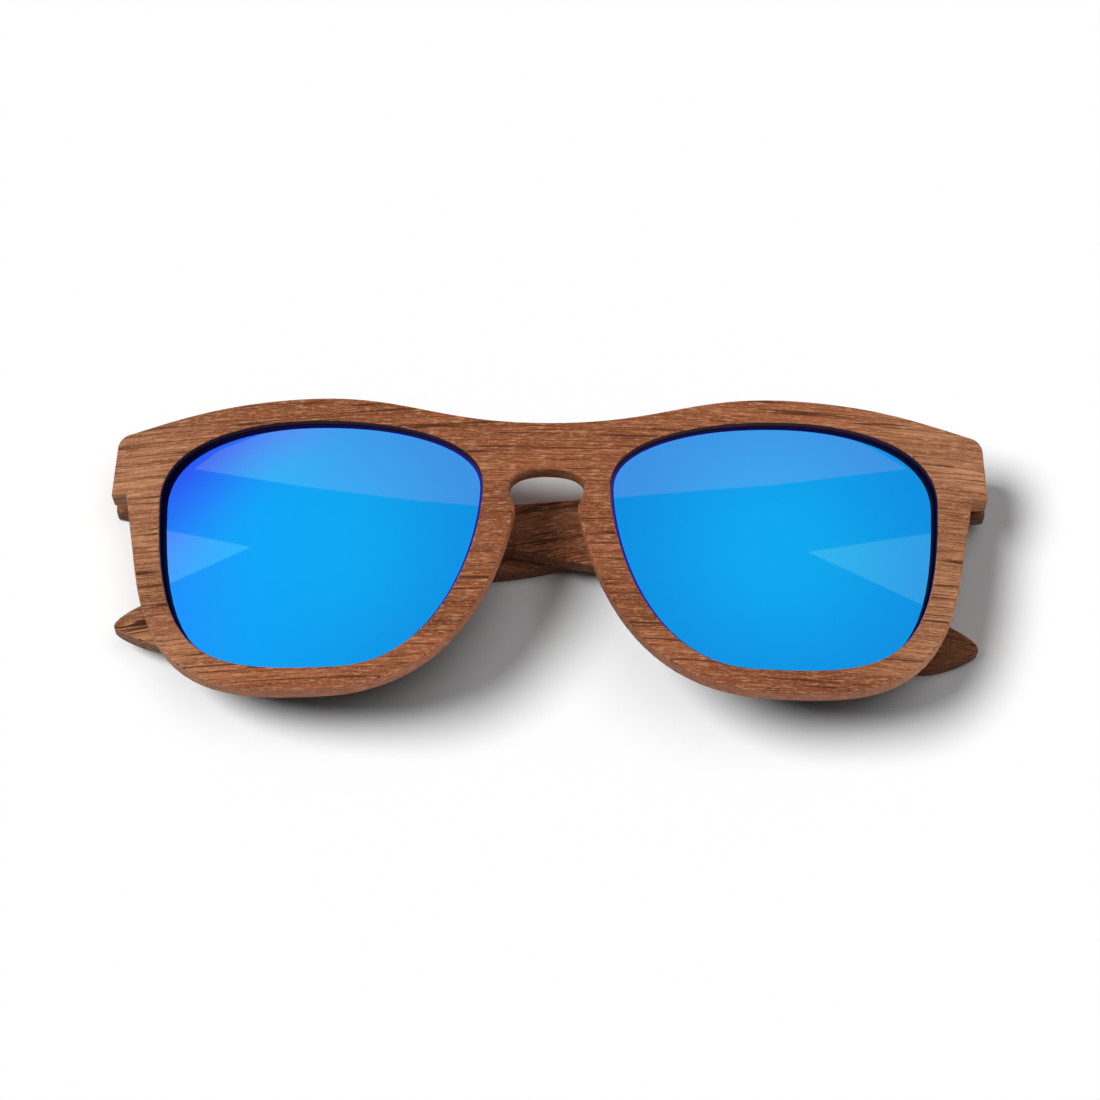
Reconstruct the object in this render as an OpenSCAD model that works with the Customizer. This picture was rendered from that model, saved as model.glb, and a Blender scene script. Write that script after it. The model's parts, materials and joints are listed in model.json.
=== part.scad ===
// Wooden sunglasses with sprung hinges, folded and lying on their temples with the lenses up.
// X runs across the face with the wearer's left at +X, Y points to the brow and Z up from the table.
// The left temple lies next to the front and the right one under it, so the front leans by a few degrees.

/* [Lenses] */
// Width of a lens opening
lens_w = 53.6; // [50:0.1:57]
// Height of an opening above its widest line
lens_up = 12.1; // [10:0.1:14]
// Height of an opening below its widest line
lens_down = 30.6; // [26:0.1:34]
// Thickness of a lens
lens_t = 1.4; // [1.1:0.1:1.9]
// Depth of the lenses below the face of the front
lens_recess = 1.85; // [1.4:0.05:2.2]
// Depth of the groove round an opening
groove_d = 1; // [0.6:0.1:1.4]
// Clearance of a lens in its groove
lens_fit = 0.05; // [0.02:0.01:0.1]

/* [Front] */
// Distance between the lens openings
bridge_w = 20.7; // [18:0.1:24]
// Height of the bridge above the keyhole
bridge_h = 8.1; // [7:0.1:10]
// Top of the keyhole above the widest line of the lenses
keyhole_up = 2.5; // [1:0.1:3.5]
// Height of the keyhole from its top to its widest line
keyhole_h = 3.2; // [2.5:0.1:4]
// Height of the keyhole from its widest line to the waist
keyhole_low = 3.3; // [2.5:0.1:4]
// Width of the keyhole
keyhole_w = 12.3; // [11.4:0.1:13.5]
// Width of the waist below the keyhole
waist_w = 10.1; // [9:0.1:10.8]
// Height of the brow bar above the lenses
brow_h = 3.95; // [3:0.05:6]
// Drop of the brow bar from its crest to the outer corners
brow_drop = 3.95; // [2.5:0.05:5]
// Width of the rims beside the lenses
rim_side = 5.9; // [5:0.1:7.5]
// Width of the rims below the lenses
rim_low = 3.8; // [3:0.1:6]
// Thickness of the front
front_t = 4.2; // [3.8:0.1:5]
// Radius that the front is bent to
front_r = 230; // [190:5:320]

/* [End pieces] */
// How far an end piece stands out past its rim
end_out = 2.6; // [1.5:0.1:4]
// Height of the end pieces' undersides above the widest line of the lenses
end_up = 1.7; // [0.5:0.1:2.5]
// Radius of the outer corners
end_round = 1.7; // [1:0.1:2]
// Radius of the end pieces' outer edges at the back
end_roll = 1.7; // [0.5:0.1:2.2]
// How far an end piece overlaps the outer face of an open temple
end_lip = 0.1; // [0:0.1:1]
// Wood between a hinge plate and the inner side of its end piece
end_wall = 1.9; // [1:0.1:2.2]

/* [Nose pads] */
// Depth of a nose pad behind the front
pad_d = 4.8; // [3:0.1:6]
// Length of a nose pad along the nose
pad_l = 16; // [13:0.5:18]
// Angle at which the nose pads open towards the face
pad_splay = 25; // [20:1:30]
// Set-back of the nose pads from the nose edge
pad_back = 0.8; // [0.4:0.1:1]
// Wood left between a nose pad and its lens opening
pad_inset = 0.9; // [0.5:0.1:1.5]
// Place of a nose pad along the nose edge, from 0 at the bottom of the rim to 1 at the waist
pad_at = 0.66; // [0.6:0.01:0.72]

/* [Temples] */
// Thickness of a temple
temple_t = 4.2; // [4:0.1:5.5]
// Length of a temple from its hinge pin to its tip
temple_l = 140.6; // [130:0.2:155]
// Gap between the end piece and the butt of an open temple
butt_gap = 0.15; // [0.1:0.05:0.4]
// How far the butt is lower than the end piece, at the top and at the bottom
butt_in = 0.25; // [0:0.05:0.6]
// Bevel of the butt's inner edge
butt_bevel = 0.6; // [0.5:0.1:1]
// Distance of the belly from the pin
belly_at = 55.4; // [48:0.2:60]
// Depth of the belly below the pin
belly_y = 15.2; // [13:0.1:17]
// Distance of the waist from the pin
neck_at = 78.4; // [70:0.2:85]
// Depth of the waist's lower edge below the pin
neck_y = 12.2; // [10:0.1:13]
// Depth of the tip below the pin
tip_y = 26.7; // [24:0.1:30]
// Height of the tip's blade above the point
tip_up = 6.3; // [5:0.1:7]
// Height of the tip's blade below the point
tip_low = 3.6; // [2.5:0.1:4.5]
// Length of the tip's blade behind the point
tip_l = 10; // [8:0.5:12]
// Gap between the two folded temples
stack_gap = 0.5; // [0.3:0.1:1]
// Gap between the upper folded temple and the far rim
fold_gap = 0.8; // [0.5:0.1:2]

/* [Hinges] */
// Radius of a hinge pin
pin_r = 0.6; // [0.5:0.05:0.7]
// Clearance of pins, rods and eyes
fit = 0.05; // [0.02:0.01:0.08]
// Depth of a pin below the temple's inner face
pin_inset = 1; // [0.8:0.1:1.2]
// Distance of a pin behind the end piece
setback = 3.6; // [3.2:0.1:4.5]
// Outer radius of the eye and of the ears
eye_r = 1.3; // [1.1:0.05:1.5]
// Width of the eye
eye_w = 1.9; // [1.6:0.1:2.4]
// Thickness of an ear
ear_t = 1.2; // [1:0.1:1.3]
// Room for the turning ears in the temple
ear_room = 0.3; // [0.2:0.05:0.5]
// Width of a hinge plate across the end piece
plate_w = 3.6; // [3:0.1:4]
// Height of a hinge plate
plate_h = 9; // [8.8:0.1:9.4]
// Thickness of a hinge plate
plate_t = 1; // [0.7:0.1:1.3]
// Distance between the two screws of a hinge plate
plate_screw_gap = 6.9; // [6.7:0.1:7]
// Radius of a pin's head
pin_head_r = 1.1; // [0.9:0.05:1.2]
// Height of a pin's head
pin_head_h = 0.6; // [0.4:0.05:0.8]
// Clearance of the metal in the wood
inlay_fit = 0.04; // [0.02:0.01:0.1]

/* [Springs] */
// Length of a spring housing
housing_l = 12; // [11:0.5:15]
// Width of a spring housing
housing_w = 4.4; // [3.6:0.1:4.6]
// Depth of a spring housing
housing_d = 3; // [2.8:0.1:3.2]
// Thickness of the housing's front wall
housing_wall = 0.8; // [0.6:0.1:1.2]
// Length of the housing's screw tail
tail_l = 6.6; // [5.5:0.1:8]
// Thickness of the housing's screw tail
tail_t = 0.8; // [0.6:0.1:1]
// Radius of the sliding rod
rod_r = 0.5; // [0.4:0.05:0.55]
// Mean radius of the spring
coil_r = 0.75; // [0.72:0.01:0.8]
// Radius of the spring wire
wire_r = 0.15; // [0.1:0.01:0.16]
// Turns of the spring
coil_turns = 8; // [5:1:9]
// Length of the nut on the rod
nut_l = 0.8; // [0.6:0.1:1.2]

/* [Wood screws] */
// Radius of a screw's shank
screw_r = 0.5; // [0.4:0.05:0.6]
// Radius of a screw's head
screw_head_r = 0.95; // [0.8:0.05:1]
// Height of a screw's countersunk head
screw_head_h = 0.5; // [0.4:0.05:0.6]
// Length of the screws in the end pieces
plate_screw_l = 4; // [3:0.1:4.5]
// Length of the screws in the temples
tail_screw_l = 3; // [2.4:0.1:3.2]

/* [Hidden] */
$fn = 96;

wood = "#a06c4a";
temple_wood = "#8a5c40";
mirror_blue = "#1496ee";
steel = "#c3c5c8";
LEFT = 1;
RIGHT = -1;

// Steps of each outline curve, and the overshoot of a cut
steps = 20;
over = 1;

// Outline of the front, about the point between the lenses on their widest line
lens_x1 = bridge_w / 2;
lens_x2 = lens_x1 + lens_w;
rim_x = lens_x2 + rim_side;
half_w = rim_x + end_out;
brow_y = lens_up + brow_h;
rim_y = -lens_down - rim_low;
end_y = brow_y - brow_drop;
hinge_y = (end_up + end_y) / 2;
front_h = brow_y - rim_y;

// Places along a lens of the highest point of its opening, the lowest point, and the crest and foot of its rim
lens_top_x = lens_x1 + 0.586 * lens_w;
lens_low_x = lens_x1 + 0.438 * lens_w;
crest_x = lens_x1 + 0.57 * lens_w;
foot_x = lens_x1 + 0.48 * lens_w;

// How fully the curves fill the corners of an opening, clockwise from its highest point
lens_fill = [[0.3, 0.9], [0.94, 0.68], [0.75, 0.3], [0.82, 0.3]];
// The same for the keyhole and for the lower outer corner of a rim
keyhole_fill = [0.7, 0.6];
rim_fill = [0.97, 0.49];
// Slope of the brow and lean of the side at an outer corner
brow_slope = -0.2;
end_lean = 0.08;
// Lean of the rim's outer side, and how far down it runs straight
side_lean = 0.156;
side_straight = 14;
// Reach of the brow's curves from the middle, to and from the crest, and from the outer corner
brow_reach = [18.5, 17.9, 14, 8];
// Reach and lean of the nose edge's curve at the foot of the rim and at the waist
nose_reach = [16.4, 19.6];
nose_lean = 0.21;

// Depth of the bent face below its crown, at a distance from the middle
function sag(x) = front_r - sqrt(front_r ^ 2 - x ^ 2);

// Pins in the front's own frame, and the lean that the stacked temples give it
pin_x = half_w - end_lip - (temple_t - pin_inset);
lean = asin((temple_t + stack_gap) / (2 * pin_x));
far_x = (lens_x2 + rim_x) / 2;
fold_room = fold_gap + pin_inset + (far_x + pin_x) * sin(lean);
pin_z = -sag(far_x) - front_t - fold_room / cos(lean);
end_z = pin_z + setback;
block_x = pin_x - plate_w / 2 - end_wall;

// Where the front's frame and the pins lie on the table
right_pin_up = temple_t - pin_inset;
pin_row_x = pin_x * cos(lean);
front_at = [
    pin_z * sin(lean),
    -(brow_y + rim_y) / 2,
    right_pin_up - pin_z * cos(lean) + pin_x * sin(lean)
];

// Hinge
ear_y = eye_w / 2 + fit;
fork_y = ear_y + ear_t;
notch_w = 2 * (fork_y + pin_head_h + ear_room);
notch_d = pin_inset + eye_r + ear_room;
notch_l = eye_r + ear_room;

// Spring housing along the temple
housing_at = notch_l;
rod_z = pin_inset - housing_d / 2;
coil_room_r = coil_r + wire_r + 2 * fit;
coil_at = housing_at + housing_wall;
nut_at = housing_at + housing_l - nut_l - housing_wall;
tail_at = housing_at + housing_l;
tail_w = housing_w - 4 * ear_room;
tail_screws = [0.28, 0.75] * tail_l;

// Temple profile, about the pin, with x along the temple
butt_x = setback - butt_gap;
butt_h = end_y - end_up - 2 * butt_in;
butt_top = [-butt_x, butt_h / 2];
butt_low = [-butt_x, -butt_h / 2];
tip = [temple_l, -tip_y];
blade_top = [temple_l - tip_l, tip_up - tip_y];
blade_low = [temple_l - 0.9 * tip_l, -tip_low - tip_y];
belly = [belly_at, -belly_y];
neck = [neck_at, -neck_y];
// Slopes of the top edge at the butt and at the blade, and of the lower edge at the butt
top_slope = [-0.162, -0.4];
low_slope = -0.12;
// Reach of the top edge's curve, and of the lower edge's curves on each side of the belly and of the neck
top_reach = [84, 60];
belly_reach = [38, 8, 10.5];
neck_reach = [7.2, 16, 10];
// How fully the curves above and below the point fill the corners of the tip
tip_fill = [[0.78, 0.4], [0.25, 0.35]];

// Point at a share t of a cubic curve from a to b that leaves towards c and arrives from d
function cubic(a, c, d, b, t) =
    (1 - t) ^ 3 * a + 3 * (1 - t) ^ 2 * t * c + 3 * (1 - t) * t ^ 2 * d + t ^ 3 * b;
// Points along such a curve, without its last one
function curve(a, c, d, b) = [for (i = [0 : steps - 1]) cubic(a, c, d, b, i / steps)];
// Points of a rounded corner at c
function bend(a, c, b, fill) = curve(a, a + fill[0] * (c - a), b + fill[1] * (c - b), b);

// Outline of a lens opening, grown outwards by g
function opening(g) =
    let (x1 = lens_x1 - g, x2 = lens_x2 + g, y1 = -lens_down - g, y2 = lens_up + g)
    let (top = [lens_top_x, y2], outer = [x2, 0], low = [lens_low_x, y1], inner = [x1, 0])
    concat(
        bend(top, [x2, y2], outer, lens_fill[0]),
        bend(outer, [x2, y1], low, lens_fill[1]),
        bend(low, [x1, y1], inner, lens_fill[2]),
        bend(inner, [x1, y2], top, lens_fill[3])
    );

// Nose edge of the left half, from the foot of the rim to the waist
nose_foot = [foot_x, rim_y];
nose_waist = [waist_w / 2, keyhole_up - keyhole_h - keyhole_low];
nose_curve = [
    nose_foot, nose_foot - [nose_reach[0], 0],
    nose_waist + nose_reach[1] * [nose_lean, -1], nose_waist
];
function nose_edge(t) = cubic(nose_curve[0], nose_curve[1], nose_curve[2], nose_curve[3], t);

// Outline of the front's left half, clockwise from the middle of the brow to the top of the keyhole
function half_outline() =
    let (middle = [0, keyhole_up + bridge_h], crest = [crest_x, brow_y])
    let (corner = [half_w - end_lean * (end_y - end_up), end_y])
    let (brow_end = corner - end_round * [1, brow_slope], side = corner + end_round * [end_lean, -1])
    let (root = [rim_x, end_up], turn = root - side_straight * [side_lean, 1])
    let (rim_corner = [turn.x - side_lean * (turn.y - rim_y), rim_y])
    let (key_side = [keyhole_w / 2, keyhole_up - keyhole_h], key_top = [0, keyhole_up])
    let (key_reach = keyhole_low / 3)
    concat(
        curve(middle, middle + [brow_reach[0], 0], crest - [brow_reach[1], 0], crest),
        curve(crest, crest + [brow_reach[2], 0], brow_end - brow_reach[3] * [1, brow_slope], brow_end),
        bend(brow_end, corner, side, [0.55, 0.55]),
        [side, [half_w, end_up], root],
        bend(turn, rim_corner, nose_foot, rim_fill),
        curve(nose_curve[0], nose_curve[1], nose_curve[2], nose_curve[3]),
        curve(nose_waist, nose_waist + key_reach * [0.5, 1], key_side - [0, key_reach], key_side),
        bend(key_side, [key_side.x, key_top.y], key_top, keyhole_fill),
        [key_top]
    );

// Outline of a temple, clockwise from the top of its butt
function temple_outline() =
    let (above = blade_top + tip_l * [1, top_slope[1]], below = [tip.x, blade_low.y])
    concat(
        curve(butt_top, butt_top + top_reach[0] * [1, top_slope[0]],
            blade_top - top_reach[1] * [1, top_slope[1]], blade_top),
        bend(blade_top, above, tip, tip_fill[0]),
        bend(tip, below, blade_low, tip_fill[1]),
        curve(blade_low, blade_low - [neck_reach[2], 0], neck + [neck_reach[1], 0], neck),
        curve(neck, neck - [neck_reach[0], 0], belly + [belly_reach[2], 0], belly),
        curve(belly, belly - [belly_reach[1], 0],
            butt_low + belly_reach[0] * [1, low_slope], butt_low),
        [butt_low]
    );

// The front's own frame: x across, y to the brow, z out of the lenses from the crown of its face
module in_front() translate(front_at) rotate([0, -lean, 0]) children();
// A left-hand shape on its own side, or mirrored to the other
module on_side(side) mirror([side == LEFT ? 0 : 1, 0, 0]) children();
// Both sides of a left-hand shape
module on_both() {
    children();
    mirror([1, 0, 0]) children();
}
// At a pin in the front's frame, with x outwards and z out of the lenses
module at_end_piece() translate([pin_x, hinge_y, pin_z]) children();
// At a pin on the table, with x along the folded temple and z towards the front
module at_temple(side)
    translate([side * pin_row_x, front_at.y + hinge_y, right_pin_up + (side + 1) * pin_x * sin(lean)])
        mirror([side == LEFT ? 1 : 0, 0, 0]) children();

// A flat outline extruded through the whole depth of the front
module through() translate([0, 0, end_z - over]) linear_extrude(2 * over - end_z) children();
// All that lies behind a depth below the bent face
module behind(depth) translate([0, 0, -front_r]) rotate([90, 0, 0])
    cylinder(r = front_r - depth, h = 2 * front_h, center = true, $fn = 720);
// The layer between two depths below the bent face
module layer(depth1, depth2) difference() {
    behind(depth1);
    behind(depth2);
}
module front_outline() {
    half = half_outline();
    last = len(half) - 1;
    polygon(concat(half, [for (i = [last - 1 : -1 : 1]) [-half[i].x, half[i].y]]));
}

// A countersunk wood screw that points along +z with its head's face at 0
module screw(length) {
    point = 2 * screw_r;
    slot = [1.4 * screw_head_r, 0.4 * screw_r, screw_head_h];
    difference() {
        union() {
            cylinder(r1 = screw_head_r, r2 = screw_r, h = screw_head_h);
            cylinder(r = screw_r, h = length - point);
            translate([0, 0, length - point]) cylinder(r1 = screw_r, r2 = screw_r / 5, h = point);
        }
        for (turn = [0, 90]) rotate(turn) cube(slot, center = true);
    }
}
// The hole that such a screw fills
module screw_hole(length) {
    translate([0, 0, -over]) cylinder(r = screw_r + fit, h = length + over + fit);
    cylinder(r1 = screw_head_r + fit, r2 = screw_r + fit, h = screw_head_h);
}
module at_plate_screws()
    for (end = [-1, 1]) translate([0, end * plate_screw_gap / 2, setback]) children();
module at_tail_screws()
    for (place = tail_screws) translate([tail_at + place, 0, pin_inset]) rotate([180, 0, 0]) children();

// Hinge plate, grown by a clearance
module plate(gap) translate([-plate_w / 2 - gap, -plate_h / 2 - gap, setback - gap])
    cube([plate_w, plate_h, plate_t] + gap * [2, 2, 2]);
// Spring housing with its tail, grown by a clearance
module housing_body(gap) {
    translate([housing_at - gap, -housing_w / 2 - gap, pin_inset - housing_d - gap])
        cube([housing_l, housing_w, housing_d] + gap * [2, 2, 1]);
    translate([tail_at - over, -tail_w / 2 - gap, pin_inset - tail_t - gap])
        cube([tail_l + over, tail_w, tail_t] + gap * [1, 2, 1]);
}

// Section of an end piece, seen along the height of the front
module end_section() {
    translate([block_x, end_z]) square([half_w - end_roll - block_x, -end_z]);
    translate([block_x, end_z + end_roll]) square([half_w - block_x, -end_z - end_roll]);
    translate([half_w - end_roll, end_z + end_roll]) circle(end_roll);
}

module front_frame() color(wood) in_front() difference() {
    union() {
        intersection() {
            through() front_outline();
            layer(0, front_t);
        }
        intersection() {
            through() front_outline();
            behind(0);
            on_both() translate([0, brow_y, 0]) rotate([90, 0, 0])
                linear_extrude(brow_y - end_up) end_section();
        }
    }
    on_both() {
        through() polygon(opening(0));
        intersection() {
            through() polygon(opening(groove_d));
            layer(lens_recess - lens_fit, lens_recess + lens_t + lens_fit);
        }
        at_end_piece() {
            plate(inlay_fit);
            at_plate_screws() screw_hole(plate_screw_l);
        }
    }
}

module lens(side) color(mirror_blue) in_front() on_side(side) intersection() {
    through() polygon(opening(groove_d - lens_fit));
    layer(lens_recess, lens_recess + lens_t);
}

module nose_pad(side) {
    middle = nose_edge(pad_at);
    along = nose_edge(pad_at + 0.01) - middle;
    hump_r = (pad_l ^ 2 / 4 + pad_d ^ 2) / (2 * pad_d);
    seat = [middle.x, middle.y, -sag(middle.x) - front_t];
    color(wood) in_front() on_side(side) difference() {
        intersection() {
            through() front_outline();
            behind(front_t);
            translate(seat) rotate(atan2(along.y, along.x)) translate([0, 0, hump_r - pad_d])
                rotate([90, 0, 0]) cylinder(r = hump_r, h = 2 * bridge_w, center = true);
        }
        through() polygon(opening(pad_inset));
        translate([-half_w, -front_h, end_z - over]) cube([half_w, 2 * front_h, over - end_z]);
        translate(seat) rotate(atan2(along.y, along.x)) rotate([-pad_splay, 0, 0])
            translate([-pad_l, -pad_back, -2 * pad_d]) cube([2 * pad_l, bridge_w / 2, 4 * pad_d]);
    }
}

module temple(side) color(temple_wood) at_temple(side) difference() {
    translate([0, 0, pin_inset - temple_t]) linear_extrude(temple_t) polygon(temple_outline());
    translate([-butt_x - over, -notch_w / 2, pin_inset - notch_d])
        cube([butt_x + over + notch_l, notch_w, notch_d + over]);
    translate([-butt_x, 0, pin_inset]) rotate([0, 45, 0])
        cube([butt_bevel * sqrt(2), 2 * butt_h, butt_bevel * sqrt(2)], center = true);
    housing_body(inlay_fit);
    translate([0, 0, over]) housing_body(inlay_fit);
    at_tail_screws() screw_hole(tail_screw_l);
}

module hinge_fork(side) color(steel) in_front() on_side(side) at_end_piece() difference() {
    union() {
        plate(0);
        for (y = [ear_y, -fork_y]) translate([0, y, 0]) {
            rotate([-90, 0, 0]) cylinder(r = eye_r, h = ear_t);
            translate([-eye_r, 0, 0]) cube([2 * eye_r, ear_t, setback + plate_t / 2]);
        }
    }
    rotate([90, 0, 0]) cylinder(r = pin_r + fit, h = 2 * (fork_y + over), center = true);
    at_plate_screws() screw_hole(plate_t);
}

module fork_screws(side) color(steel) in_front() on_side(side) at_end_piece()
    at_plate_screws() screw(plate_screw_l);

module hinge_screw(side) color(steel) in_front() on_side(side) at_end_piece() rotate([-90, 0, 0])
    difference() {
        union() {
            cylinder(r = pin_r, h = 2 * fork_y, center = true);
            translate([0, 0, fork_y]) cylinder(r = pin_head_r, h = pin_head_h);
        }
        translate([0, 0, fork_y + pin_head_h]) cube([3 * pin_head_r, pin_r / 2, pin_head_h], center = true);
    }

module flex_slider(side) {
    neck_l = housing_at - fit;
    neck_t = 2 * (rod_r + 2 * fit);
    color(steel) at_temple(side) difference() {
        union() {
            rotate([90, 0, 0]) cylinder(r = eye_r, h = eye_w, center = true);
            translate([0, -eye_w / 2, rod_z - neck_t / 2]) cube([neck_l, eye_w, neck_t]);
            translate([eye_r, 0, rod_z]) rotate([0, 90, 0]) cylinder(r = rod_r, h = nut_at + nut_l - eye_r);
        }
        rotate([90, 0, 0]) cylinder(r = pin_r + fit, h = eye_w + over, center = true);
    }
}

module slider_nut(side) color(steel) at_temple(side) translate([nut_at, 0, rod_z]) rotate([0, 90, 0])
    difference() {
        cylinder(r = coil_r + wire_r, h = nut_l);
        translate([0, 0, -over]) cylinder(r = rod_r + fit / 2, h = nut_l + 2 * over);
    }

// Coil of round wire, one tube from the housing's front wall to the nut
coil_rings = 8 * coil_turns;
wire_sides = 6;
coil_l = nut_at - coil_at - 2 * wire_r;
function coil_point(i, k) =
    let (turn = 360 * coil_turns * i / coil_rings, a = 360 * k / wire_sides, r = coil_r + wire_r * cos(a))
    [coil_at + wire_r + coil_l * i / coil_rings + wire_r * sin(a), r * cos(turn), rod_z + r * sin(turn)];
module flex_spring(side) {
    points = [for (i = [0 : coil_rings], k = [0 : wire_sides - 1]) coil_point(i, k)];
    quads = [for (i = [0 : coil_rings - 1], k = [0 : wire_sides - 1]) let (n = (k + 1) % wire_sides)
        [i * wire_sides + k, i * wire_sides + n, (i + 1) * wire_sides + n, (i + 1) * wire_sides + k]];
    walls = [for (q = quads, half = [[0, 1, 2], [0, 2, 3]]) [for (j = half) q[j]]];
    first = [for (k = [1 : wire_sides - 2]) [0, k + 1, k]];
    last = [for (f = first) [for (j = [2, 1, 0]) coil_rings * wire_sides + f[j]]];
    color(steel) at_temple(side) polyhedron(points, concat(walls, first, last));
}

module flex_housing(side) color(steel) at_temple(side) difference() {
    housing_body(0);
    translate([housing_at - over, 0, rod_z]) rotate([0, 90, 0])
        cylinder(r = rod_r + fit, h = housing_l);
    translate([coil_at, 0, rod_z]) rotate([0, 90, 0]) cylinder(r = coil_room_r, h = housing_l);
    at_tail_screws() screw_hole(tail_t);
}

module housing_screws(side) color(steel) at_temple(side) at_tail_screws() screw(tail_screw_l);

front_frame();
lens(LEFT);  // lens_left
lens(RIGHT);  // lens_right
nose_pad(LEFT);  // nose_pad_left
nose_pad(RIGHT);  // nose_pad_right
temple(LEFT);  // temple_left
temple(RIGHT);  // temple_right
hinge_fork(LEFT);  // hinge_fork_left
hinge_fork(RIGHT);  // hinge_fork_right
fork_screws(LEFT);  // fork_screws_left
fork_screws(RIGHT);  // fork_screws_right
hinge_screw(LEFT);  // hinge_screw_left
hinge_screw(RIGHT);  // hinge_screw_right
flex_slider(LEFT);  // flex_slider_left
flex_slider(RIGHT);  // flex_slider_right
slider_nut(LEFT);  // slider_nut_left
slider_nut(RIGHT);  // slider_nut_right
flex_spring(LEFT);  // flex_spring_left
flex_spring(RIGHT);  // flex_spring_right
flex_housing(LEFT);  // flex_housing_left
flex_housing(RIGHT);  // flex_housing_right
housing_screws(LEFT);  // housing_screws_left
housing_screws(RIGHT);  // housing_screws_right
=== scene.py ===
import json
import math

import bmesh
import bpy
from mathutils import Matrix, Vector


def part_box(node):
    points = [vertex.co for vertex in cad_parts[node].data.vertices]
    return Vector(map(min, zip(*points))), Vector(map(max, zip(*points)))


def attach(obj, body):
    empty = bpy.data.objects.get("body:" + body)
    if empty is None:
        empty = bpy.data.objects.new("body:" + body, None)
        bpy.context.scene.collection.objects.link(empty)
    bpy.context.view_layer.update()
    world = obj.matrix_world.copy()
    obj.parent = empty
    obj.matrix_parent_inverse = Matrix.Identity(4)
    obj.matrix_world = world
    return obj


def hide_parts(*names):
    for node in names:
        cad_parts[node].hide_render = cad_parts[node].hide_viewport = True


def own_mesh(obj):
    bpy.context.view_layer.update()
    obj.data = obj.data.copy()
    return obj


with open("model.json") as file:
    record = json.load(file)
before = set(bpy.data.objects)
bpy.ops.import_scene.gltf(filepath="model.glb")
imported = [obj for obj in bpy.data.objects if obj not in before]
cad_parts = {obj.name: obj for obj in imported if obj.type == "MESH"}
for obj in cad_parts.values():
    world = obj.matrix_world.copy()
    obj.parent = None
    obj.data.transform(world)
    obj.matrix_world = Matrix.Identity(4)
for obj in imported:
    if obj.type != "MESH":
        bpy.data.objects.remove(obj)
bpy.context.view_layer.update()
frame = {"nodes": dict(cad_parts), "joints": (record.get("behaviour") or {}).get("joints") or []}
nodes = frame["nodes"]
mm = 0.001
sides = ("left", "right")
print("frame loaded:", len(nodes), "nodes")

# the bent front's own axes, from the two hinge pins: across the face, to the brow, out of the lenses
front = {
    "pinDepth": 20.5718 * mm,  # pins behind the crown of the face
    "pinRise": 6.9 * mm,  # pins above the widest line of the lenses
    "bendRadius": 230 * mm,
}
pins = [Vector(j["pos_m"]) for j in frame["joints"] if j["type"] == "hinge"]
pinLeft, pinRight = sorted(pins, key=lambda p: -p.x)
across = (pinLeft - pinRight).normalized()
toBrow = Vector((0, 1, 0))
outward = across.cross(toBrow)
crown = (pinLeft + pinRight) / 2 + outward * front["pinDepth"] - toBrow * front["pinRise"]
bendAxis = crown - outward * front["bendRadius"]

scene = bpy.context.scene
scene.view_settings.view_transform = "Standard"

# the camera stands where the photograph was taken from
camera = {
    "target": Vector((0.01, -2.385, 26.134)) * mm,
    "azimuth": math.radians(-1.0808),
    "elevation": math.radians(70.0544),
    "roll": math.radians(1.9721),
    "distance": 650 * mm,
    "lens": 131.873,
    "sensor": 36,
    "pixels": 1100,
    "nearest": 0.01,
    "farthest": 20,
}


def cameraAxes():
    a, e, r = camera["azimuth"], camera["elevation"], camera["roll"]
    back = Vector((math.sin(a) * math.cos(e), -math.cos(a) * math.cos(e), math.sin(e)))
    level = Vector((0, 0, 1)).cross(back).normalized()
    rise = back.cross(level)
    right = level * math.cos(r) + rise * math.sin(r)
    return right, back.cross(right), back


def makeCamera():
    right, up, back = cameraAxes()
    data = bpy.data.cameras.new("photoCamera")
    data.lens = camera["lens"]
    data.sensor_width = camera["sensor"]
    data.clip_start = camera["nearest"]
    data.clip_end = camera["farthest"]
    holder = bpy.data.objects.new("photoCamera", data)
    scene.collection.objects.link(holder)
    turn = Matrix((right, up, back)).transposed().to_4x4()
    holder.matrix_world = Matrix.Translation(camera["target"] + back * camera["distance"]) @ turn
    scene.camera = holder


makeCamera()
print("camera set")


# one socket of a node tree, so that sums and products of sockets read as plain maths
class Wire:
    def __init__(self, tree, socket=None):
        self.tree = tree
        self.socket = socket

    def add(self, kind, settings, values, out=0):
        made = self.tree.nodes.new(kind)
        for name, value in settings.items():
            setattr(made, name, value)
        for name, value in values.items():
            if isinstance(value, Wire):
                self.tree.links.new(value.socket, made.inputs[name])
            else:
                made.inputs[name].default_value = value
        return Wire(self.tree, made.outputs[out])

    def maths(self, operation, first, second):
        return self.add("ShaderNodeMath", {"operation": operation}, {0: first, 1: second})

    def __add__(self, other):
        return self.maths("ADD", self, other)

    def __radd__(self, other):
        return self.maths("ADD", other, self)

    def __sub__(self, other):
        return self.maths("SUBTRACT", self, other)

    def __rsub__(self, other):
        return self.maths("SUBTRACT", other, self)

    def __mul__(self, other):
        return self.maths("MULTIPLY", self, other)

    def __abs__(self):
        return self.maths("ABSOLUTE", self, 0)

    def dot(self, direction):
        settings = {"operation": "DOT_PRODUCT"}
        return self.add("ShaderNodeVectorMath", settings, {0: self, 1: direction}, "Value")

    # rises softly from 0 at the low limit to 1 at the high one
    def fade(self, low, high):
        settings = {"interpolation_type": "SMOOTHSTEP"}
        sockets = {"Value": self, "From Min": low, "From Max": high}
        return self.add("ShaderNodeMapRange", settings, sockets)


# a colour written as it shows on a screen, 0 to 255
def paint(red, green, blue):
    shares = [c / 255 for c in (red, green, blue)]
    linear = [c / 12.92 if c <= 0.04045 else ((c + 0.055) / 1.055) ** 2.4 for c in shares]
    return (*linear, 1)


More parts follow.
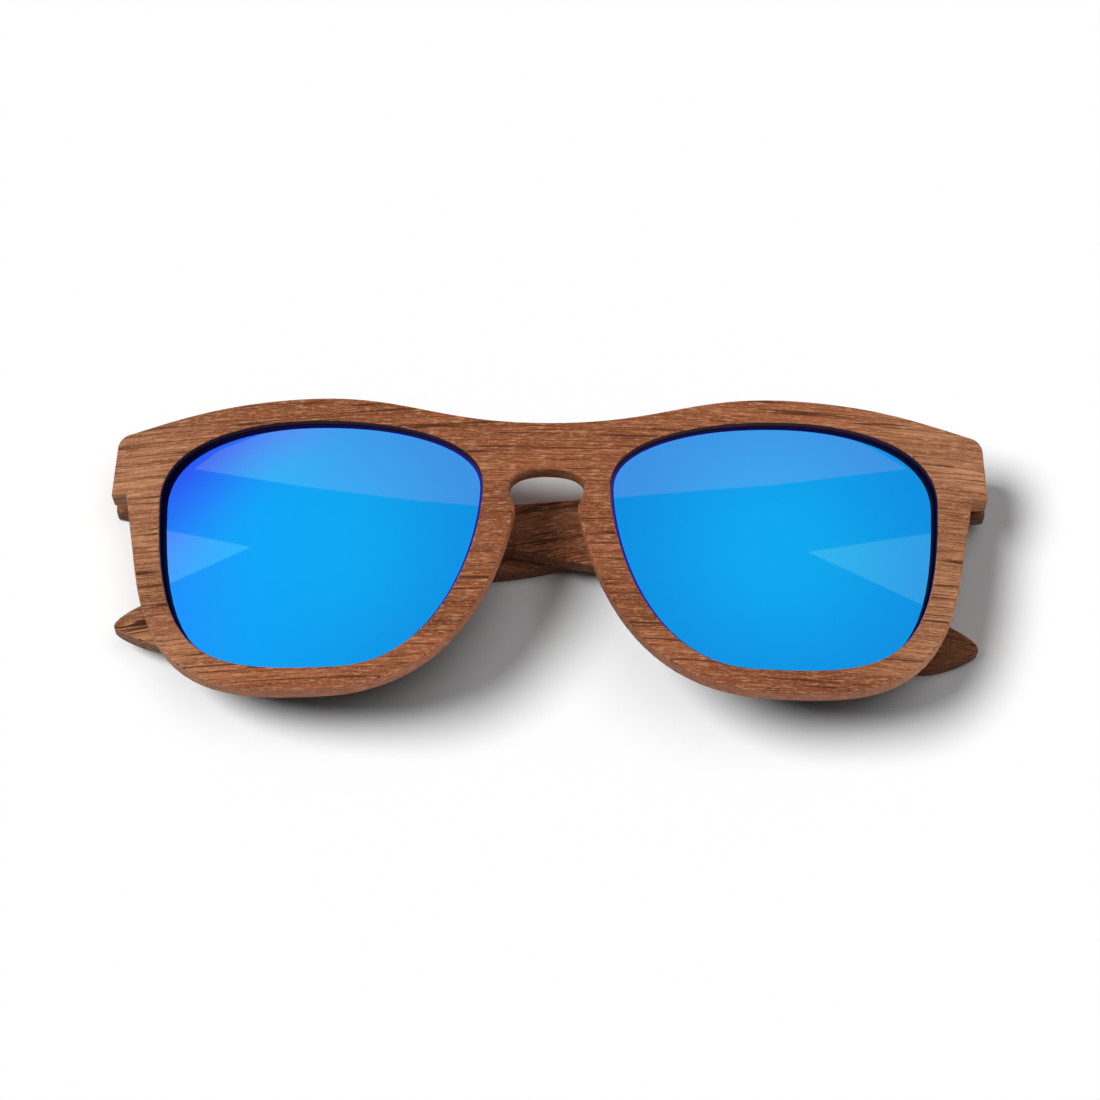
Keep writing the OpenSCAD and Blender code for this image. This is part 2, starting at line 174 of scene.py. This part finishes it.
def newMaterial(name):
    material = bpy.data.materials.new(name)
    material.use_nodes = True
    material.node_tree.nodes.clear()
    return material, Wire(material.node_tree)


def output(wire, shader):
    end = wire.tree.nodes.new("ShaderNodeOutputMaterial")
    wire.tree.links.new(shader.socket, end.inputs["Surface"])


# the mix node's sockets for colours have no names of their own: 6 and 7 go in, and 2 comes out
def mixColour(wire, factor, first, second):
    return wire.add("ShaderNodeMix", {"data_type": "RGBA"}, {0: factor, 6: first, 7: second}, 2)


def objectPlace(wire):
    return wire.add("ShaderNodeTexCoord", {}, {}, "Object")


# the front's grain follows its bend: along the face, up it, and out of the bend's axis, in millimetres
def bentGrain(wire):
    place = objectPlace(wire)
    arm = wire.add("ShaderNodeVectorMath", {"operation": "SUBTRACT"}, {0: place, 1: bendAxis})
    along, deep = arm.dot(across), arm.dot(outward)
    run = wire.maths("ARCTAN2", along, deep) * (front["bendRadius"] / mm)
    reach = wire.maths("SQRT", along * along + deep * deep, 0) * (1 / mm)
    return wire.add("ShaderNodeCombineXYZ", {}, {"X": run, "Y": arm.dot(toBrow / mm), "Z": reach})


# a temple's grain runs straight, at a slant to its length, in millimetres
def straightGrain(wire, slant):
    sockets = {"Vector": objectPlace(wire), "Rotation": (0, 0, slant), "Scale": (1 / mm, 1 / mm, 1 / mm)}
    return wire.add("ShaderNodeMapping", {}, sockets)


def leftGrain(wire):
    return straightGrain(wire, -wood["slant"])


def rightGrain(wire):
    return straightGrain(wire, wood["slant"])


# noise drawn out along the grain: the stretch is in cells per millimetre
def grainNoise(wire, grain, layer):
    shift = layer["shift"]
    sockets = {"Vector": grain, "Scale": layer["stretch"], "Location": (shift, shift, shift)}
    place = wire.add("ShaderNodeMapping", {}, sockets)
    return wire.add("ShaderNodeTexNoise", {}, {"Vector": place, "Scale": 1, "Detail": layer["detail"]})


def fadedNoise(wire, grain, layer):
    return grainNoise(wire, grain, layer).fade(*layer["fade"])


wood = {
    "body": paint(153, 92, 61),
    "pale": paint(205, 155, 116),
    "deep": paint(100, 51, 30),
    "line": paint(58, 30, 17),
    "slant": math.radians(11),
    "litEnds": (44, 70),  # where the wood is painted paler, as painted light, in millimetres along the grain
    "roughness": 0.5,
    "specular": 0.15,
}
# the grain's layers, in the order in which they are painted
woodLayers = {
    "bands": dict(tone="deep", stretch=(0.008, 0.12, 0.1), shift=3, detail=1, fade=(0.35, 0.65), share=0.5),
    "streak": dict(tone="deep", stretch=(0.03, 1.5, 2.5), shift=11, detail=2, fade=(0.4, 0.6), share=0.55),
    "fibre": dict(tone="deep", stretch=(0.12, 3.8, 6), shift=23, detail=2, fade=(0.42, 0.64), share=0.45),
    "fleck": dict(tone="pale", stretch=(0.45, 2.8, 5), shift=51, detail=1, fade=(0.52, 0.72), share=0.42),
    "speckle": dict(tone="pale", stretch=(1.4, 4, 4), shift=37, detail=1, fade=(0.45, 0.75), share=0.28),
}
# long thin pores along the middle value of a noise, broken off here and there by another
pores = {
    "vein": dict(stretch=(0.012, 0.8, 1.8), shift=83, detail=1, fade=(0.006, 0.026)),
    "broken": dict(stretch=(0.05, 0.7, 1.5), shift=97, detail=1, fade=(0.4, 0.5)),
    "middle": 0.5,
    "share": 0.85,
}
relief = {"fibre": 0.4, "speckle": 0.2, "strength": 0.4, "depth": 0.05 * mm, "roughFibre": 0.2}
frontMarks = {
    "dash": dict(stretch=(0.1, 2.8, 4.5), shift=67, detail=1, fade=(0.65, 0.72), share=0.75),
    # how much paler the front's ends are painted: painted light
    "litEndShare": 0.5,
}
templeDash = dict(stretch=(0.14, 1.7, 3), shift=67, detail=1, fade=(0.6, 0.68), share=0.9)
# painted light and shade: the left temple's ends are painted paler, the right temple's, whose tip lies in
# shade, barely
leftMarks = {"dash": templeDash, "litEndShare": 0.55}
rightMarks = {"dash": templeDash, "litEndShare": 0.1}


def woodMaterial(name, makeGrain, marked):
    material, wire = newMaterial(name)
    grain = makeGrain(wire)
    noises = {key: grainNoise(wire, grain, layer) for key, layer in woodLayers.items()}
    dash = fadedNoise(wire, grain, marked["dash"])
    vein = abs(grainNoise(wire, grain, pores["vein"]) - pores["middle"])
    pore = (1 - vein.fade(*pores["vein"]["fade"])) * fadedNoise(wire, grain, pores["broken"])
    marks = wire.maths("MAXIMUM", pore * pores["share"], dash * marked["dash"]["share"])
    run = wire.add("ShaderNodeSeparateXYZ", {}, {"Vector": grain}, "X")

    # painted light: the wood is painted paler towards its ends
    litEnds = abs(run).fade(*wood["litEnds"]) * marked["litEndShare"]
    colour = mixColour(wire, litEnds, wood["body"], wood["pale"])
    for key, layer in woodLayers.items():
        share = noises[key].fade(*layer["fade"]) * layer["share"]
        colour = mixColour(wire, share, colour, wood[layer["tone"]])
    colour = mixColour(wire, marks, colour, wood["line"])

    fibre, speckle = noises["fibre"], noises["speckle"]
    height = fibre * relief["fibre"] + speckle * relief["speckle"] - marks
    sockets = {"Strength": relief["strength"], "Distance": relief["depth"], "Height": height}
    shader = wire.add("ShaderNodeBsdfPrincipled", {}, {
        "Base Color": colour,
        "Roughness": wood["roughness"] + fibre * relief["roughFibre"],
        "Specular IOR Level": wood["specular"],
        "Normal": wire.add("ShaderNodeBump", {}, sockets),
    })
    output(wire, shader)
    return material


# the mirror coating, partly its own tints and partly painted reflection: each lens is painted darker
# towards its edge, and brighter, with azure and violet, on the wearer's right, away from the bridge
mirrorBlue = {
    "middle": paint(17, 167, 238),
    "edge": paint(17, 144, 226),
    "bright": paint(17, 168, 255),
    "azure": paint(42, 128, 255),
    "violet": paint(46, 72, 244),
    # painted shade: the dark ring round each lens
    "rim": paint(18, 10, 50),
    "line": paint(24, 18, 180),
    "spread": 37 * mm,  # middle of a lens, from the middle of the bridge
    "reach": 30 * mm,
    "edgeFade": (0.1, 0.95),  # in shares of the reach
    "brightFade": (18 * mm, 60 * mm),
    "brightShare": 0.8,
    "azureFade": (46 * mm, 64 * mm),
    "azureShare": 0.5,
    "cornerFade": (13 * mm, 37 * mm),
    "cornerSide": 0.75,
    "cornerRise": 0.9,
    "roughness": 0.012,
    "edgeRoughness": 0.3,
}


def mirrorMaterial():
    material, wire = newMaterial("blueMirror")
    place = objectPlace(wire)
    side = wire.add("ShaderNodeSeparateXYZ", {}, {"Vector": place}, "X")
    rise = wire.add("ShaderNodeSeparateXYZ", {}, {"Vector": place}, "Y")
    off = abs(side) - mirrorBlue["spread"]
    away = wire.maths("SQRT", off * off + rise * rise, 0) * (1 / mirrorBlue["reach"])
    # painted reflection: darker towards the edge, brighter and azure on the wearer's right
    colour = mixColour(wire, away.fade(*mirrorBlue["edgeFade"]), mirrorBlue["middle"], mirrorBlue["edge"])
    right = side * -1
    for tint in ("bright", "azure"):
        share = right.fade(*mirrorBlue[f"{tint}Fade"]) * mirrorBlue[f"{tint}Share"]
        colour = mixColour(wire, share, colour, mirrorBlue[tint])
    corner = (right - mirrorBlue["spread"]) * mirrorBlue["cornerSide"] + rise * mirrorBlue["cornerRise"]
    colour = mixColour(wire, corner.fade(*mirrorBlue["cornerFade"]), colour, mirrorBlue["violet"])
    shader = wire.add("ShaderNodeBsdfPrincipled", {}, {
        "Base Color": colour,
        "Metallic": 1,
        "Roughness": mirrorBlue["roughness"],
    })
    output(wire, shader)
    return material


# where a lens enters its groove: a dark ring of painted shade, standing for the shaded wall and its
# mirrored image, and a violet line beside the mirror
def edgeMaterial(name, colour, metallic):
    material, wire = newMaterial(name)
    shader = wire.add("ShaderNodeBsdfPrincipled", {}, {
        "Base Color": colour,
        "Metallic": metallic,
        "Roughness": mirrorBlue["edgeRoughness"],
    })
    output(wire, shader)
    return material


# the walls of the lens openings are painted dark, painted shade as in a recess, and the backs of the lenses
# are smoke grey
wallLook = {
    "dark": paint(40, 26, 30),
    "light": paint(56, 38, 42),
    "cells": 900,  # per metre
    "detail": 2,
    "roughness": 0.6,
    "specular": 0.15,
}
smokeLook = {
    "dark": paint(34, 36, 42),
    "light": paint(44, 46, 52),
    "cells": 60,
    "detail": 2,
    "roughness": 0.06,
    "specular": 0.5,
}


def cloudedMaterial(name, look):
    material, wire = newMaterial(name)
    sockets = {"Vector": objectPlace(wire), "Scale": look["cells"], "Detail": look["detail"]}
    cloud = wire.add("ShaderNodeTexNoise", {}, sockets)
    shader = wire.add("ShaderNodeBsdfPrincipled", {}, {
        "Base Color": mixColour(wire, cloud, look["dark"], look["light"]),
        "Roughness": look["roughness"],
        "Specular IOR Level": look["specular"],
    })
    output(wire, shader)
    return material


steelLook = {
    "body": paint(176, 178, 182),
    "worn": paint(132, 134, 138),
    "brush": (900, 9000, 9000),  # cells per metre
    "detail": 2,
    "roughness": 0.22,
    "roughScratch": 0.2,
}


def steelMaterial():
    material, wire = newMaterial("hingeSteel")
    brushed = wire.add("ShaderNodeMapping", {}, {"Vector": objectPlace(wire), "Scale": steelLook["brush"]})
    sockets = {"Vector": brushed, "Scale": 1, "Detail": steelLook["detail"]}
    scratch = wire.add("ShaderNodeTexNoise", {}, sockets)
    shader = wire.add("ShaderNodeBsdfPrincipled", {}, {
        "Base Color": mixColour(wire, scratch, steelLook["body"], steelLook["worn"]),
        "Metallic": 1,
        "Roughness": steelLook["roughness"] + scratch * steelLook["roughScratch"],
    })
    output(wire, shader)
    return material


materials = {
    "front_wood": woodMaterial("frontWood", bentGrain, frontMarks),
    "temple_left": woodMaterial("leftTempleWood", leftGrain, leftMarks),
    "temple_right": woodMaterial("rightTempleWood", rightGrain, rightMarks),
    "mirror_lens": mirrorMaterial(),
    # painted shade: the dark ring round each lens
    "painted_shade_edge": edgeMaterial("paintedShadeEdge", mirrorBlue["rim"], 0),
    "violet_line": edgeMaterial("violetLine", mirrorBlue["line"], 1),
    # painted shade: the dark walls of the lens openings
    "opening_wall": cloudedMaterial("paintedShadeWall", wallLook),
    "smoke": cloudedMaterial("smokeTint", smokeLook),
    "hinge_steel": steelMaterial(),
}
print("materials made")

meshing = {
    "merge": 0.002 * mm,
    "flat": math.radians(0.2),  # less than this between two faces, and they are one
    "sharp": math.radians(35),  # more than this, and the edge is rounded
    "crease": math.radians(40),  # more than this, and it isn't shaded smooth
    "segments": 3,  # across a rounded edge
    "profile": 0.5,
}


# a copy of a node's mesh with its loose triangles merged into whole faces
def wholeCopy(nodeName):
    shape = bmesh.new()
    shape.from_mesh(nodes[nodeName].data)
    bmesh.ops.remove_doubles(shape, verts=shape.verts, dist=meshing["merge"])
    bmesh.ops.dissolve_limit(shape, angle_limit=meshing["flat"], verts=shape.verts, edges=shape.edges)
    return shape


def softenEdges(shape, width):
    convex = [e for e in shape.edges if e.is_manifold and e.is_convex]
    sharp = [e for e in convex if e.calc_face_angle() > meshing["sharp"]]
    bmesh.ops.bevel(
        shape, geom=sharp, offset=width, offset_type="OFFSET", segments=meshing["segments"],
        profile=meshing["profile"], affect="EDGES", clamp_overlap=False, material=-1,
    )


def finishPiece(shape, name, body, replaced, looks):
    for face in shape.faces:
        face.smooth = True
    for edge in shape.edges:
        edge.smooth = edge.is_manifold and edge.calc_face_angle() < meshing["crease"]
    mesh = bpy.data.meshes.new(name)
    shape.to_mesh(mesh)
    shape.free()
    for look in looks:
        mesh.materials.append(look)
    piece = bpy.data.objects.new(name, mesh)
    scene.collection.objects.link(piece)
    weighted = piece.modifiers.new("evenShading", "WEIGHTED_NORMAL")
    weighted.keep_sharp = True
    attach(piece, body)
    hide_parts(*replaced)
    return piece


frontShape = {"arris": 0.35 * mm, "wallLean": 0.3}  # the walls of the openings lean out less than that
frontLooks = ["front_wood", "opening_wall"]
shape = wholeCopy("front_frame")
softenEdges(shape, frontShape["arris"])
# painted shade: the walls inside the openings, facing their lens, take the darker wall paint
for side in sides:
    low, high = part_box(f"lens_{side}")
    for face in shape.faces:
        place = face.calc_center_median()
        inside = low.x < place.x < high.x and low.y < place.y < high.y
        facesLens = face.normal.dot((low + high) / 2 - place) > 0
        if inside and facesLens and abs(face.normal.dot(outward)) < frontShape["wallLean"]:
            face.material_index = frontLooks.index("opening_wall")
looks = [materials[look] for look in frontLooks]
woodFront = finishPiece(shape, "woodFront", "front", ["front_frame"], looks)
woodPieces = [woodFront]
print("front made")

templeShape = {"arris": 0.45 * mm}
for side in sides:
    temple = f"temple_{side}"
    shape = wholeCopy(temple)
    softenEdges(shape, templeShape["arris"])
    looks = [materials[temple]]
    woodPieces.append(finishPiece(shape, f"woodTemple_{side}", temple, [temple], looks))
print("temples made")

lensShape = {
    "recess": 1.85 * mm,
    "thick": 1.4 * mm,
    "strip": 1.5 * mm,  # a lens is cut into strips, which are then set on its bend
    "rim": 1.2 * mm,  # the part in the groove, and a thin dark line of painted shade that shows beside it
    "line": 0.25 * mm,  # violet, between the dark line and the mirror
    "mirrorLean": 0.5,  # the mirrored faces look out more than that
    "cutGap": 1e-7,
}
lensLooks = ["mirror_lens", "smoke", "painted_shade_edge", "violet_line"]
mirrorRadius = front["bendRadius"] - lensShape["recess"]


# from the bend's axis straight to a point
def bendArm(place):
    arm = place - bendAxis
    return arm - toBrow * arm.dot(toBrow)


# which way the bent surface through a point looks: out of the mirror, or back at the wearer
def bendNormal(place):
    arm = bendArm(place)
    facing = arm.length - mirrorRadius + lensShape["thick"] / 2
    return arm.normalized() * math.copysign(1, facing)


for side in sides:
    shape = wholeCopy(f"lens_{side}")
    low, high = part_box(f"lens_{side}")
    mirror = [f for f in shape.faces if f.normal.dot(outward) > lensShape["mirrorLean"]]
    for face in shape.faces:
        face.material_index = lensLooks.index("smoke")
    for face in mirror:
        face.material_index = lensLooks.index("mirror_lens")
    # the dark ring is painted shade; the violet line lies between it and the mirror
    for look, width in (("painted_shade_edge", lensShape["rim"]), ("violet_line", lensShape["line"])):
        ring = bmesh.ops.inset_region(shape, faces=mirror, thickness=width, use_even_offset=True)
        for face in ring["faces"]:
            face.material_index = lensLooks.index(look)
    cuts = int((high.x - low.x) / lensShape["strip"])
    for cut in range(1, cuts):
        where = Vector((low.x + cut * lensShape["strip"], 0, 0))
        bmesh.ops.bisect_plane(
            shape, geom=shape.verts[:] + shape.edges[:] + shape.faces[:], dist=lensShape["cutGap"],
            plane_co=where, plane_no=across,
        )
    for vert in shape.verts:
        arm = bendArm(vert.co)
        outer = arm.length > mirrorRadius - lensShape["thick"] / 2
        radius = mirrorRadius if outer else mirrorRadius - lensShape["thick"]
        vert.co += arm * (radius / arm.length - 1)
    shape.normal_update()
    looks = [materials[look] for look in lensLooks]
    lens = finishPiece(shape, f"mirrorLens_{side}", "front", [f"lens_{side}"], looks)
    lens.modifiers.clear()
    lens.data.normals_split_custom_set_from_vertices([bendNormal(v.co) for v in lens.data.vertices])
print("lenses made")

padShape = {"arris": 0.5 * mm}
for side in sides:
    pad = f"nose_pad_{side}"
    shape = wholeCopy(pad)
    softenEdges(shape, padShape["arris"])
    finishPiece(shape, f"nosePad_{side}", "front", [pad], [materials["front_wood"]])
print("nose pads made")

# each spring is wound round its slider's rod
springShape = {"turns": 8, "wire": 0.15 * mm, "wireSides": 10, "steps": 24, "travel": 2 * mm}
for side in sides:
    spring = f"flex_spring_{side}"
    low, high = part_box(spring)
    middle = (low + high) / 2
    wireRadius = springShape["wire"]
    coilRadius = (high.y - low.y) / 2 - wireRadius
    length = high.x - low.x
    steps = springShape["turns"] * springShape["steps"]
    start = Matrix.Translation((low.x + wireRadius, middle.y + coilRadius, middle.z))
    shape = bmesh.new()
    bmesh.ops.create_circle(shape, segments=springShape["wireSides"], radius=wireRadius, matrix=start)
    bmesh.ops.spin(
        shape, geom=shape.verts[:] + shape.edges[:], cent=middle, axis=(1, 0, 0),
        dvec=((length - 2 * wireRadius) / steps, 0, 0),
        angle=math.tau * springShape["turns"], steps=steps,
    )
    bmesh.ops.holes_fill(shape, edges=[e for e in shape.edges if e.is_boundary])
    bmesh.ops.recalc_face_normals(shape, faces=shape.faces)
    looks = [materials["hinge_steel"]]
    coil = finishPiece(shape, f"coil_{side}", f"temple_{side}", [spring], looks)
    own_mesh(coil)
print("springs wound")

steelNodes = [n for n in nodes if n.startswith(("hinge_", "fork_", "flex_", "slider_", "housing_"))]
for name in steelNodes:
    nodes[name].data.materials.clear()
    nodes[name].data.materials.append(materials["hinge_steel"])
print("hinges dressed:", len(steelNodes))

# white floor, white world, a wide light from above on the left, and a little from the right
light = {
    "fill": 0.04,
    "bounce": 0.2,  # the floor's own grey, as the object sees it
    "floorSize": 3,
    "suns": [
        {"lean": math.radians(-30), "spread": math.radians(24), "share": 0.8},
        {"lean": math.radians(8.5), "spread": math.radians(33), "share": 0.2},
    ],
    "washes": [
        {"from": Vector((0.76, -0.64, 0.08)), "level": 0.7},
        {"from": Vector((-0.7, -0.7, 0.1)), "level": 0.25},
    ],
    "behind": {"from": Vector((0, 1, 0.05)), "level": 0.5},
    "washSpread": math.radians(20),
}
white = (1, 1, 1, 1)


# 1 for what is seen straight, in a mirror or through glass, and 0 for what only lights
def seenRay(wire):
    path = wire.tree.nodes.new("ShaderNodeLightPath")

    def ray(name):
        return Wire(wire.tree, path.outputs[name])

    seen = wire.maths("MAXIMUM", ray("Is Camera Ray"), ray("Is Glossy Ray"))
    seen = wire.maths("MAXIMUM", seen, ray("Is Transmission Ray"))
    return seen * wire.maths("LESS_THAN", ray("Diffuse Depth"), 1)


def stagePiece(shape, name, material):
    mesh = bpy.data.meshes.new(name)
    shape.to_mesh(mesh)
    shape.free()
    mesh.materials.append(material)
    piece = bpy.data.objects.new(name, mesh)
    scene.collection.objects.link(piece)
    return piece


# the floor shows from above only, so that a temple opened below it can be looked at from under it
def makeFloor():
    shape = bmesh.new()
    bmesh.ops.create_grid(shape, x_segments=1, y_segments=1, size=light["floorSize"])
    material, wire = newMaterial("whiteFloor")
    grey = (light["bounce"], light["bounce"], light["bounce"], 1)
    dim = wire.add("ShaderNodeBsdfDiffuse", {}, {"Color": grey})
    bright = wire.add("ShaderNodeBsdfDiffuse", {}, {"Color": white})
    solid = wire.add("ShaderNodeMixShader", {}, {0: seenRay(wire), 1: dim, 2: bright})
    under = wire.add("ShaderNodeNewGeometry", {}, {}, "Backfacing")
    clear = wire.add("ShaderNodeBsdfTransparent", {}, {})
    output(wire, wire.add("ShaderNodeMixShader", {}, {0: under, 1: solid, 2: clear}))
    floor = stagePiece(shape, "floor", material)
    floor.visible_shadow = False


def makeWorld():
    world = bpy.data.worlds.new("whiteWorld")
    world.use_nodes = True
    world.node_tree.nodes.clear()
    wire = Wire(world.node_tree)
    strength = seenRay(wire) * (1 - light["fill"]) + light["fill"]
    glow = wire.add("ShaderNodeBackground", {}, {"Color": white, "Strength": strength})
    end = wire.tree.nodes.new("ShaderNodeOutputWorld")
    wire.tree.links.new(glow.socket, end.inputs["Surface"])
    scene.world = world


# a lamp with parallel light, which only gives light and shows in no gloss
def makeSun(name, back, spread, level):
    lamp = bpy.data.lights.new(name, "SUN")
    lamp.angle = spread
    lamp.energy = math.pi * level
    holder = bpy.data.objects.new(name, lamp)
    scene.collection.objects.link(holder)
    holder.rotation_mode = "QUATERNION"
    holder.rotation_quaternion = back.to_track_quat("Z", "Y")
    holder.visible_glossy = False
    return holder


def makeSuns():
    for sun in light["suns"]:
        back = Vector((math.sin(sun["lean"]), 0, math.cos(sun["lean"])))
        makeSun("sun", back, sun["spread"], (1 - light["fill"]) * sun["share"] / back.z)


def gather(name, pieces):
    collection = bpy.data.collections.new(name)
    for piece in pieces:
        collection.objects.link(piece)
    return collection


# low lights on the wooden front alone, and a light on all the wood from behind
def makeWashes():
    frontOnly = gather("washed", [woodFront])
    for wash in light["washes"]:
        holder = makeSun("wash", wash["from"], light["washSpread"], wash["level"])
        holder.light_linking.receiver_collection = frontOnly
    behind = makeSun("behind", light["behind"]["from"], light["washSpread"], light["behind"]["level"])
    behind.light_linking.receiver_collection = gather("litFromBehind", woodPieces)


# soft boxes above the table, which only the mirrored lenses show: corners in pixels of the photograph
softBoxes = {
    "height": 320 * mm,
    "Brow": {"glow": (8.6, 1.04, 1.02, 1), "tipGlow": (3.4, 1.4, 0.98, 1)},
    "Side": {"glow": (5.6, 1.2, 1.02, 1), "tipGlow": (4, 1.27, 1.03, 1)},
    "tip": (150 * mm, 280 * mm),  # the far end, over the violet corner
    "grid": (0.65, 0.7),  # a grid of slats hides each box, except from steeply below
    "steps": 6,  # points along each side
    "rightBrow": [
        (194, 469), (220, 450), (262, 434), (330, 420), (495, 420), (495, 507), (420, 501), (300, 486),
    ],
    "rightSide": [(160, 529), (251, 547), (160, 588)],
    "leftBrow": [(603, 499), (603, 420), (838, 433), (873, 449), (907, 469), (775, 485), (695, 491)],
    "leftSide": [(808, 552), (940, 532), (940, 613)],
}


# the point at the soft boxes' height that a pixel of a lens mirrors
def mirrored(pixel):
    right, up, back = cameraAxes()
    focal = camera["lens"] / camera["sensor"] * camera["pixels"]
    middle = camera["pixels"] / 2
    eye = camera["target"] + back * camera["distance"]
    ray = (right * (pixel[0] - middle) + up * (middle - pixel[1]) - back * focal).normalized()
    arm, flat = bendArm(eye), ray - toBrow * ray.dot(toBrow)
    half = arm.dot(flat) / flat.dot(flat)
    gone = -half - math.sqrt(half * half - (arm.dot(arm) - mirrorRadius * mirrorRadius) / flat.dot(flat))
    normal = (arm + flat * gone) / mirrorRadius
    bounced = ray - normal * (2 * ray.dot(normal))
    hit = eye + ray * gone
    return hit + bounced * ((softBoxes["height"] - hit.z) / bounced.z)


def makeSoftBox(name, material):
    corners = [Vector(c) for c in softBoxes[name]]
    shares = [k / softBoxes["steps"] for k in range(softBoxes["steps"])]
    shape = bmesh.new()
    ring = [
        shape.verts.new(mirrored(corner.lerp(following, share)))
        for corner, following in zip(corners, corners[1:] + corners[:1])
        for share in shares
    ]
    bmesh.ops.contextual_create(shape, geom=ring)
    card = stagePiece(shape, name, material)
    card.visible_camera = card.visible_diffuse = card.visible_shadow = card.visible_transmission = False


def softBoxMaterial(name):
    material, wire = newMaterial(f"softBox{name}")
    tip = objectPlace(wire).dot((-1, 0, 0)).fade(*softBoxes["tip"])
    colour = mixColour(wire, tip, softBoxes[name]["glow"], softBoxes[name]["tipGlow"])
    steep = wire.add("ShaderNodeNewGeometry", {}, {}, "Incoming").dot((0, 0, -1))
    clear = wire.add("ShaderNodeBsdfTransparent", {}, {})
    lit = wire.add("ShaderNodeEmission", {}, {"Color": colour})
    shown = steep.fade(*softBoxes["grid"])
    output(wire, wire.add("ShaderNodeMixShader", {}, {0: shown, 1: clear, 2: lit}))
    return material


def makeSoftBoxes():
    for name in ("Brow", "Side"):
        material = softBoxMaterial(name)
        makeSoftBox(f"right{name}", material)
        makeSoftBox(f"left{name}", material)


makeFloor()
makeWorld()
makeSuns()
makeWashes()
makeSoftBoxes()
print("floor and light set")
